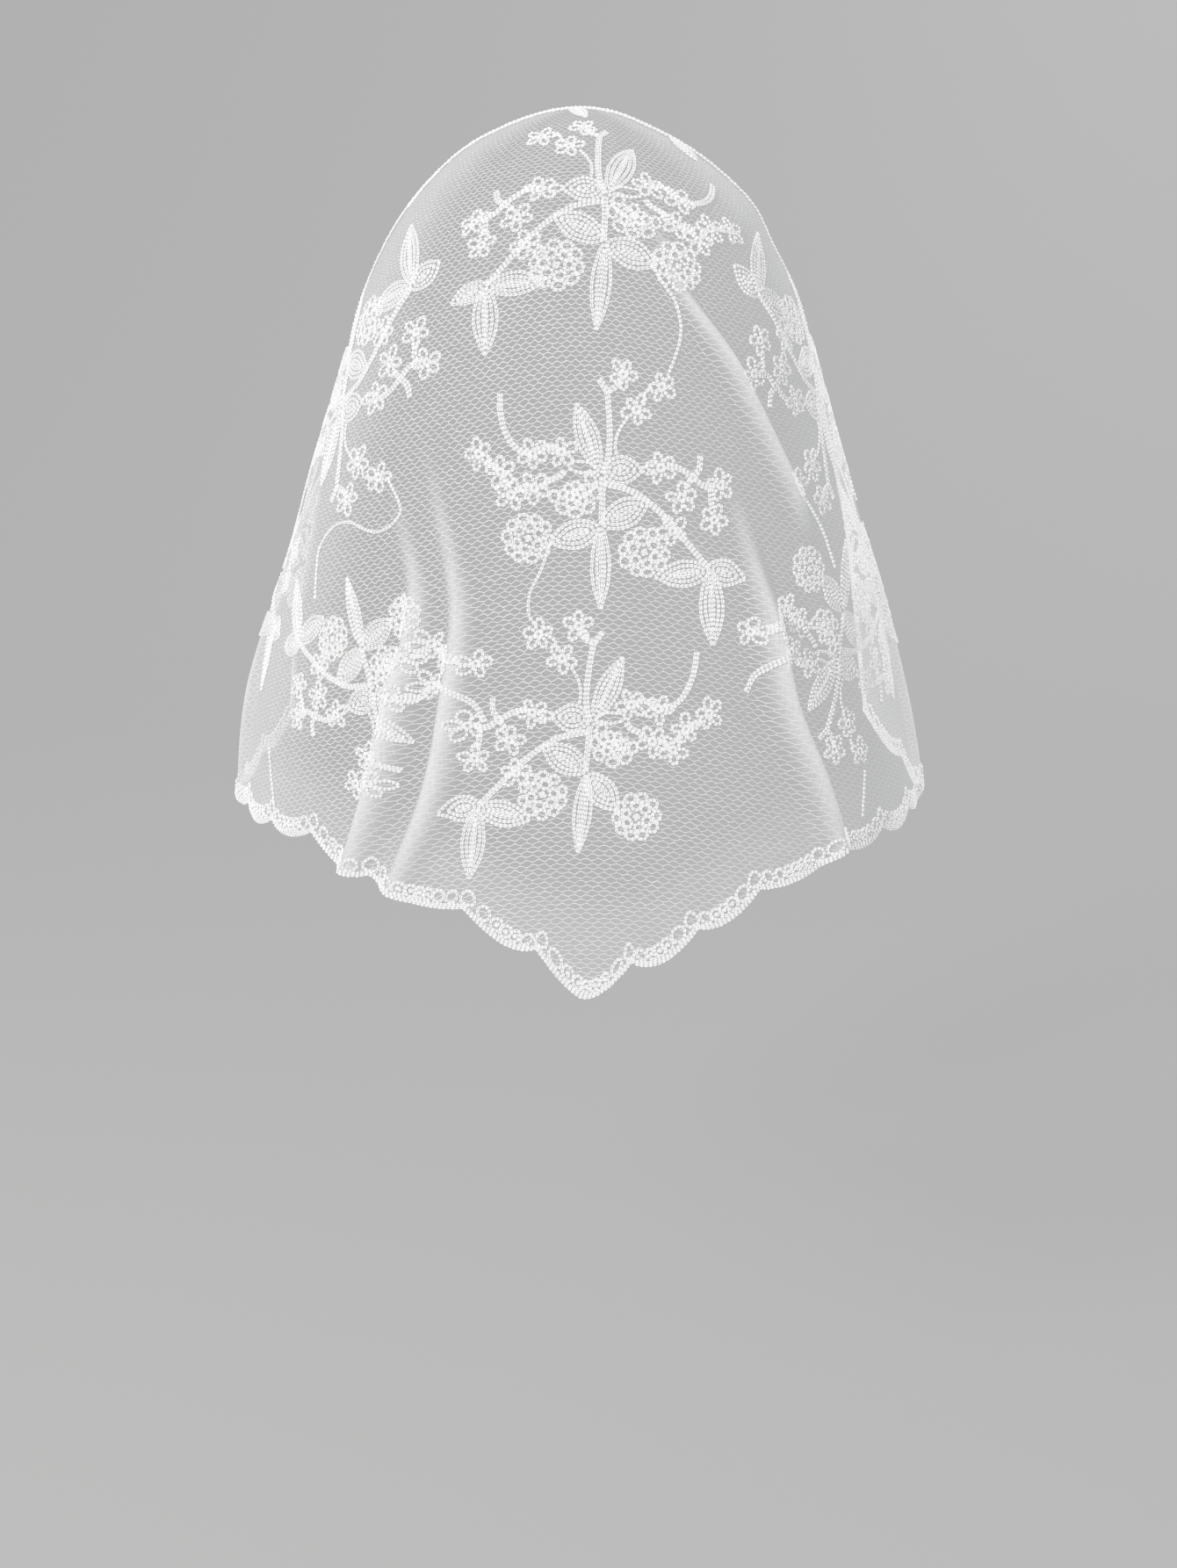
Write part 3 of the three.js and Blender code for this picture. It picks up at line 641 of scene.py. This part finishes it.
def net_material():
    """Thin threads, and a haze of crowded ones where the net is gathered."""
    material, tree, shader = principled("fine_net")
    place = tree.nodes.new("ShaderNodeTexCoord").outputs["Object"]
    tint = noise(tree, place, TINT_SCALE)
    tree.links.new(ramp(tree, tint, NET_DARK, NET_LIGHT), shader.inputs["Base Color"])
    shader.inputs["Roughness"].default_value = 0.6
    uv = tree.nodes.new("ShaderNodeUVMap")
    uv.uv_map = "net"
    drawn = tree.nodes.new("ShaderNodeMapping")
    drawn.inputs["Scale"].default_value = STREAK_STRETCH
    tree.links.new(uv.outputs["UV"], drawn.inputs["Vector"])
    streaks = noise(tree, drawn.outputs["Vector"], 1, 3)
    gather = tree.nodes.new("ShaderNodeAttribute")
    gather.attribute_name = "gather"
    least, more = STREAK_LEVELS
    haze = calc(tree, "MULTIPLY", gather.outputs["Fac"], calc(tree, "MULTIPLY_ADD", streaks, more, least))
    clouds = noise(tree, uv.outputs["UV"], CLOUD_SCALE)
    least, more = CLOUD_LEVELS
    patches = calc(tree, "MULTIPLY_ADD", clouds, more * NET_OPACITY, least * NET_OPACITY)
    cover = calc(tree, "MULTIPLY", net_cover(tree), patches)
    tree.links.new(calc(tree, "MINIMUM", calc(tree, "ADD", cover, haze), HAZE_MOST), shader.inputs["Alpha"])
    return material


def net_places():
    """Azimuths and depths of the net's rows below the crown."""
    column = np.linspace(-1, 1, NET_COLUMNS)[None, :]
    share = (np.arange(1, NET_ROWS + 1) / NET_ROWS)[:, None]
    level = share * hem_depth(np.array(0.0)) + 0 * column
    depth = level
    for _ in range(SETTLE_TURNS):
        azimuth = column * front_azimuth(depth)
        bottom = hem_depth(azimuth) + scallop_drop(azimuth) - NET_INSET
        depth = level + (share * bottom - level) * smooth_step(*FOLLOW_HEM, share)
    return column * front_azimuth(depth), depth


def net_coordinates(azimuth, depth):
    """Where a place is on the net: along its courses, which fall away at the sides, and across them."""
    radius = width_at("back", depth)
    angle = np.radians(azimuth)
    fall = COURSE_SLOPE * (np.hypot(angle, COURSE_ROUNDING) - COURSE_ROUNDING)
    return np.stack([radius * angle, depth - radius * fall], -1)


def gathered(azimuth, depth):
    """How far the net is gathered: on the ridges of the folds, at the sides and along the hem."""
    share = SIDE_HAZE * smooth_step(*SIDE_HAZE_AZIMUTHS, np.abs(azimuth))
    share = share + HEM_HAZE * smooth_step(*HEM_HAZE_DEPTHS, depth - hem_depth(azimuth))
    for k, ridge in enumerate(RIDGES):
        grown = smooth_step(FOLDS["start"][k] - FOLD_LEAD, FOLDS["full"][k], depth)
        grown = grown * (1 - smooth_step(FOLDS["fade"][k], FOLDS["gone"][k], depth))
        off = np.clip((azimuth - blend(RIDGE_DEPTHS, ridge, depth)) / FOLDS["half"][k], -1, 1)
        share = np.maximum(share, FOLD_HAZE * grown * np.cos(np.pi / 2 * off) ** HAZE_SHARPNESS)
    return share


def make_net(material):
    azimuth, depth = net_places()
    points = cloth_point(azimuth, depth).reshape(-1, 3)
    flat = net_coordinates(azimuth, depth).reshape(-1, 2)
    vertices = np.vstack([[(0, 0, 0)], points])
    flat = np.vstack([[(0, 0)], flat])
    at = 1 + np.arange(NET_ROWS * NET_COLUMNS).reshape(NET_ROWS, NET_COLUMNS)
    a, b, c, d = (x.ravel() for x in (at[:-1, :-1], at[1:, :-1], at[1:, 1:], at[:-1, 1:]))
    crown = np.stack([0 * at[0, :-1], at[0, :-1], at[0, 1:]], -1)
    triangles = np.vstack([crown, np.stack([a, b, c], -1), np.stack([a, c, d], -1)])
    net = mesh_object("net_cloth", vertices, triangles)
    layer = net.data.uv_layers.new(name="net")
    layer.data.foreach_set("uv", flat[triangles.ravel()].astype(np.float32).ravel())
    share = np.concatenate([[SIDE_HAZE], gathered(azimuth, depth).ravel()])
    net.data.attributes.new("gather", "FLOAT", "POINT").data.foreach_set("value", share.astype(np.float32))
    net.data.materials.append(material)
    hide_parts("net_ground")
    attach(net, "root")
    return net


# One leg of a chain stitch: share of the stitch along it, share of its width to the side,
# height, thickness as a share of the thread's radius, and painted light, full where it is uppermost, with
# painted shade at the ends where the leg dives under the next stitch
LEG = table("along side height thickness light", [
    (-0.06, 0.03, -0.25, 0, 0),
    (0.2, 0.33, 0.05, 0.9, 0.5),
    (0.55, 0.37, 0.25, 1.15, 1),
    (0.86, 0.2, 0.1, 0.85, 0.5),
    (1.1, 0.02, -0.2, 0, 0),
])

# Painted light at the two edges of each of a leg's faces: one side, the underside and the other side. The
# sides are painted dark towards their lower edges as painted shade.
FACE_PAINTED_LIGHTS = ((1, 0.1), (0.8, 0.8), (0.1, 1))
LEG_SIDES = len(FACE_PAINTED_LIGHTS)


def stitch_template():
    """One stitch: for each vertex its share along, its share of the width, its offset to the side
    and its height; the triangles; and the painted brightness at each triangle's corners, which paints shade
    into the thread's colour."""
    rows = []
    triangles = []
    lights = []
    rings = len(LEG["along"])
    for hand in (-1, 1):
        first = len(rows)
        rows.append((LEG["along"][0], hand * LEG["side"][0], 0, LEG["height"][0]))
        for k in range(1, rings - 1):
            for corner in range(LEG_SIDES):
                angle = 2 * math.pi * corner / LEG_SIDES + math.pi / 2
                size = THREAD_RADIUS * LEG["thickness"][k]
                rows.append((
                    LEG["along"][k],
                    hand * LEG["side"][k],
                    size * math.cos(angle),
                    LEG["height"][k] + size * math.sin(angle),
                ))
        rows.append((LEG["along"][-1], hand * LEG["side"][-1], 0, LEG["height"][-1]))
        last = len(rows) - 1
        for corner, (near, far) in enumerate(FACE_PAINTED_LIGHTS):
            after = (corner + 1) % LEG_SIDES
            triangles.append((first, first + 1 + corner, first + 1 + after))
            lights.append((0, near * LEG["light"][1], far * LEG["light"][1]))
            triangles.append((last, last - LEG_SIDES + after, last - LEG_SIDES + corner))
            lights.append((0, far * LEG["light"][-2], near * LEG["light"][-2]))
            for k in range(rings - 3):
                a = first + 1 + k * LEG_SIDES + corner
                b = first + 1 + k * LEG_SIDES + after
                here = LEG["light"][k + 1]
                there = LEG["light"][k + 2]
                triangles += [(a, a + LEG_SIDES, b + LEG_SIDES), (a, b + LEG_SIDES, b)]
                lights += [(near * here, near * there, far * there), (near * here, far * there, far * here)]
    return np.array(rows), np.array(triangles), np.array(lights)


STITCH, STITCH_FACES, STITCH_PAINTED_LIGHTS = stitch_template()
random = np.random.default_rng(SEED)


def unit(vectors):
    return vectors / np.maximum(np.linalg.norm(vectors, axis=-1, keepdims=True), 1e-9)


def along_cloth(lines, place):
    """Places at even steps of about a stitch along lines, measured over the cloth, and the line of each."""
    azimuths = []
    depths = []
    rows = []
    for row, line in enumerate(lines):
        azimuth, depth = place(line)
        spots = cloth_point(azimuth, depth)
        run = np.concatenate([[0], np.cumsum(np.linalg.norm(np.diff(spots, axis=0), axis=1))])
        steps = max(round(run[-1] / STITCH_PITCH), 1)
        at = np.linspace(0, run[-1], steps + 1)
        at[1:-1] += STITCH_PITCH * random.uniform(-STITCH_SHIFT, STITCH_SHIFT)
        azimuths.append(np.interp(at, run, azimuth))
        depths.append(np.interp(at, run, depth))
        rows.append(np.full(steps + 1, row))
    return np.concatenate(azimuths), np.concatenate(depths), np.concatenate(rows)


def on_cloth(azimuth, depth):
    """Whether a place is inside the front edge and the hem."""
    inside = np.abs(azimuth) < front_azimuth(depth) + EDGE_SLACK
    return inside & (depth < hem_depth(azimuth) + scallop_drop(azimuth) + EDGE_SLACK)


def stitched(name, groups, replaced, material):
    """Chain stitches along lines as one object. A group is lines, a function that puts them on the
    cloth, and the width of their stitches."""
    parts = [along_cloth(lines, place) for lines, place, _ in groups]
    azimuth, depth, row = (np.concatenate(column) for column in zip(*parts))
    part = np.concatenate([np.full(len(rows), k) for k, (_, _, rows) in enumerate(parts)])
    normals = normal_of(cloth_point, azimuth, depth)
    spots = cloth_point(azimuth, depth) + STITCH_LIFT * normals
    kept = on_cloth(azimuth, depth)
    joined = (row[1:] == row[:-1]) & (part[1:] == part[:-1])
    first = np.nonzero(joined & kept[1:] & kept[:-1])[0]
    starts = spots[first]
    run = spots[first + 1] - starts
    up = unit(normals[first] + normals[first + 1])
    side = unit(np.cross(up, run))
    count = len(first)
    widths = np.array([width for _, _, width in groups])[part[first]] * random.uniform(*WIDTH_RANGE, count)
    aside, above = (random.normal(0, scatter, (count, 1)) for scatter in STITCH_SCATTER)
    starts = starts + side * aside + up * above
    along, share, offset, height = STITCH.T
    vertices = (
        starts[:, None, :]
        + run[:, None, :] * along[None, :, None]
        + side[:, None, :] * (widths[:, None] * share[None, :] + offset[None, :])[:, :, None]
        + up[:, None, :] * height[None, :, None]
    ).reshape(-1, 3)
    triangles = (STITCH_FACES[None] + len(STITCH) * np.arange(count)[:, None, None]).reshape(-1, 3)
    item = mesh_object(name, vertices, triangles)
    # Painted light and shade on each triangle corner of the stitches, scaled by a random amount for each
    # stitch
    lights = STITCH_PAINTED_LIGHTS.ravel()[None, :] * random.uniform(*PAINTED_LIGHT_RANGE, (count, 1))
    layer = item.data.attributes.new("light", "FLOAT", "CORNER")
    layer.data.foreach_set("value", lights.astype(np.float32).ravel())
    item.data.materials.append(material)
    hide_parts(replaced)
    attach(item, "root")
    return item


def chart_place(spray):
    """A function from points of the chart to places on the cloth, on the cone that fits it there."""
    home = spray["azimuth"]
    turn = math.radians(spray["turn"])

    def place(points):
        right = spray["mirror"] * spray["wide"] * points[:, 0]
        up = spray["tall"] * points[:, 1]
        across = spray["upright"] * (right * math.cos(turn) - up * math.sin(turn))
        depth = spray["depth"] - spray["upright"] * (right * math.sin(turn) + up * math.cos(turn))
        depth = np.maximum(depth, 1)
        radius = radius_at(home, depth)
        widening = np.maximum(radius_at(home, depth + 1) - radius, 0.02)
        apex = radius / widening
        azimuth = home + np.degrees(np.arctan2(across, apex) / widening)
        return azimuth, depth + np.hypot(apex, across) - apex

    return place


def swung(rows, part, degrees):
    """Rows of a part of the chart, turned about its junction."""
    pivot = np.array(PIVOTS[part], float)
    angle = math.radians(degrees)
    turn = np.array([(math.cos(angle), math.sin(angle)), (-math.sin(angle), math.cos(angle))])
    return [pivot + (row - pivot) @ turn for row in rows]


def smooth_line(points, steps=12):
    """A smooth line through points."""
    points = np.asarray(points, float)
    run = np.concatenate([[0], np.cumsum(np.linalg.norm(np.diff(points, axis=0), axis=1))])
    at = np.linspace(0, run[-1], steps * (len(points) - 1) + 1)
    if len(points) == 2:
        return np.stack([np.interp(at, run, points[:, k]) for k in range(2)], -1)
    return np.stack([blend(run, points[:, k], at) for k in range(2)], -1)


def beside(line, distance):
    """A line moved to its left."""
    run = unit(np.gradient(line, axis=0))
    return line + distance * np.stack([-run[:, 1], run[:, 0]], -1)


def double_row(points):
    line = smooth_line(points)
    return [beside(line, side * STEM_SPACING / 2) for side in (-1, 1)]


def leaf_rows(base, tip, width):
    """Rows that follow a leaf's outline, one inside the other."""
    base = np.array(base, float)
    along = np.array(tip, float) - base
    length = np.linalg.norm(along)
    along = along / length
    left = np.array([-along[1], along[0]])
    share = np.linspace(0, 1, LEAF_STEPS + 1)
    rows = []
    half = width / 2 - LEAF_MARGIN
    inset = 0
    while half > LEAST_HALF_WIDTH:
        reach = inset + (length - inset * LEAF_INSET) * share
        bulge = half * np.sin(np.pi * share ** LEAF_LEAN) ** (LEAF_BLUNT + LEAF_POINT * share)
        for side in (-1, 1):
            rows.append(base + reach[:, None] * along + side * bulge[:, None] * left)
        half -= ROW_SPACING
        inset += ROW_SPACING
    reach = inset + (length - inset * LEAF_INSET) * share
    rows.append(base + reach[:, None] * along)
    return rows


def ring(centre, half_length, half_width, heading=0.0, steps=28):
    """A closed oval line, its long way at an angle."""
    angle = np.linspace(0, 2 * np.pi, steps + 1)
    x = half_length * np.cos(angle)
    y = half_width * np.sin(angle)
    c, s = math.cos(heading), math.sin(heading)
    return np.stack([centre[0] + x * c - y * s, centre[1] + x * s + y * c], -1)


def petal(centre, heading, length, half_width, steps=16):
    """A closed pointed loop from near a flower's centre outward, widest beyond its middle."""
    share = np.linspace(0, 1, steps + 1)
    outward, blunt = PETAL_FULLNESS
    spread = half_width * np.sin(np.pi * share ** outward) ** blunt
    reach = PETAL_START + (length - PETAL_START) * share
    reach = np.concatenate([reach, reach[-2::-1]])
    spread = np.concatenate([spread, -spread[-2::-1]])
    c, s = math.cos(heading), math.sin(heading)
    return np.stack([centre[0] + reach * c - spread * s, centre[1] + reach * s + spread * c], -1)


def headings(first, count, uneven, share=1.0):
    """Angles at steps round a share of a circle, each a little off its place."""
    for k in range(count):
        yield first + share * 2 * np.pi * (k + random.uniform(-uneven, uneven)) / count


def flower_rows(centre, radius=FLOWER_RADIUS):
    """Loops that spread like a star."""
    first = random.uniform(0, 2 * np.pi)
    rows = []
    for heading in headings(first, FLOWER_PETALS, FLOWER_UNEVEN["heading"]):
        length = radius * random.uniform(*FLOWER_UNEVEN["length"]) - LOOP_STITCH_WIDTH / 2
        half_width = PETAL_HALF_WIDTH * random.uniform(*FLOWER_UNEVEN["width"])
        rows.append(petal(centre, heading, length, half_width))
    return rows


def rosette_rows(centre, radius=ROSETTE_RADIUS, petals=ROSETTE_PETALS, first=None, share=1.0):
    """A ring of loops that touch, about a smaller ring of them and a heart, or a share of both rings."""
    first = random.uniform(0, 2 * np.pi) if first is None else first
    rows = [ring(centre, ROSETTE_HEART, ROSETTE_HEART)]
    outer = radius - ROSETTE_LOOP - LOOP_STITCH_WIDTH / 2
    inner = outer - INNER_STEP * ROSETTE_LOOP
    for reach, count in ((outer, petals), (inner, round(INNER_PETALS * petals))):
        touch = share * math.pi * reach / count
        for heading in headings(first, count, ROSETTE_UNEVEN["heading"], share):
            spot = (centre[0] + reach * math.cos(heading), centre[1] + reach * math.sin(heading))
            half_length = ROSETTE_LOOP * random.uniform(*ROSETTE_UNEVEN["length"])
            half_width = touch * random.uniform(*ROSETTE_UNEVEN["width"])
            rows.append(ring(spot, half_length, half_width, heading))
    return rows


def leaf_group(swings):
    rows = []
    for base, tip, width, part in LEAVES:
        rows += swung(leaf_rows(base, tip, width), part, swings[part])
    return rows


def loop_group(swings):
    """The stems, flowers and rosettes."""
    rows = [smooth_line(stem) for stem in SINGLE_STEMS]
    for stem in DOUBLE_STEMS:
        rows += double_row(stem)
    for centre in FLOWERS:
        rows += flower_rows(centre)
    for centre, part in ROSETTES:
        rows += swung(rosette_rows(centre), part, swings[part])
    rows += flower_rows(HALF_ROSETTE_CENTRE, HALF_ROSETTE_FLOWER)
    rows += rosette_rows(
        HALF_ROSETTE_CENTRE,
        HALF_ROSETTE_RADIUS,
        HALF_ROSETTE_PETALS,
        math.radians(HALF_ROSETTE_START),
        HALF_ROSETTE_SHARE,
    )
    return rows


def make_sprays(material):
    items = []
    for name, row in SPRAYS.items():
        spray = dict(zip(SPRAY_COLUMNS.split(), row))
        swings = {"fixed": 0, "wing": spray["wing"], "trefoil": spray["trefoil"]}
        place = chart_place(spray)
        groups = [
            (leaf_group(swings), place, STITCH_WIDTH),
            (loop_group(swings), place, LOOP_STITCH_WIDTH),
        ]
        items.append(stitched("embroidery_" + name, groups, "spray_" + name, material))
    return items


def edging_place(points):
    """Places of points of the edging: millimetres along the hem, and inward from its outline."""
    along, level = points.T
    azimuth = along / HEM_MM_PER_DEGREE
    slope = (hem_depth(azimuth + 1) - hem_depth(azimuth - 1)) / 2 / HEM_MM_PER_DEGREE
    length = np.hypot(slope, 1)
    outer = hem_depth(azimuth) + scallop_drop(azimuth)
    return azimuth + level * slope / length / HEM_MM_PER_DEGREE, outer - level / length


def edging_rows():
    """Rows along each scallop's outline, and rings inside them, wide at the notches and crowded between."""
    rows = []
    for start, end in zip(NOTCHES[:-1] * HEM_MM_PER_DEGREE, NOTCHES[1:] * HEM_MM_PER_DEGREE):
        along = np.linspace(start, end, SCALLOP_STEPS)
        for level in EDGING_ROWS:
            rows.append(np.stack([along, 0 * along + level], -1))
        rings = max(round((end - start) / RING_PITCH), LEAST_RINGS)
        for count in range(rings):
            share = count / rings
            share = share + RING_SHIFT * math.sin(2 * math.pi * share)
            crowded = math.sin(math.pi * share)
            variation = random.uniform(-RING_VARIATION, RING_VARIATION)
            half_length = RING_HALF_LENGTH - RING_CROWDING[0] * crowded + variation
            half_width = RING_HALF_WIDTH - RING_CROWDING[1] * crowded
            spot = (start + (end - start) * share, RING_LEVEL + half_width)
            rows.append(ring(spot, half_length, half_width))
            if crowded > SWIRL_CROWDING:
                rows.append(ring(spot, SWIRL_RADIUS, SWIRL_RADIUS))
    return rows


def front_place(points):
    """Places of points of the front edge: millimetres from the crown, and inset from the edge."""
    along, inset = points.T
    reach = np.abs(along)
    depth = np.hypot(along, inset)
    back_off = np.degrees(np.arctan2(inset, radius_at(90.0, reach)))
    return np.sign(along) * (front_azimuth(reach) - back_off), depth


def front_rows():
    end = hem_depth(NOTCHES[-1])
    along = np.linspace(-end, end, FRONT_STEPS)
    return [np.stack([along, 0 * along + inset], -1) for inset in FRONT_ROWS]


def edge_rows():
    """The leaves and stems of the embroidery that meet the front edge."""
    rows = []
    for stem in EDGE_STEMS:
        rows += double_row(stem)
    for base, tip, width in EDGE_LEAVES:
        rows += leaf_rows(base, tip, width)
    return rows


def cloth_place(points):
    return points[:, 0], points[:, 1]


def link_rows():
    return [smooth_line(link) for link in LINKS]


make_camera()
make_lights()
make_stage()
thread = thread_material()
net = make_net(net_material())
hem_groups = [
    (edging_rows(), edging_place, LOOP_STITCH_WIDTH),
    (link_rows(), cloth_place, LOOP_STITCH_WIDTH),
]
edging = stitched("edging_stitches", hem_groups, "scalloped_edging", thread)
front_groups = [
    (front_rows(), front_place, LOOP_STITCH_WIDTH),
    (edge_rows(), front_place, STITCH_WIDTH),
]
front = stitched("front_stitches", front_groups, "front_edge_band", thread)
sprays = make_sprays(thread)
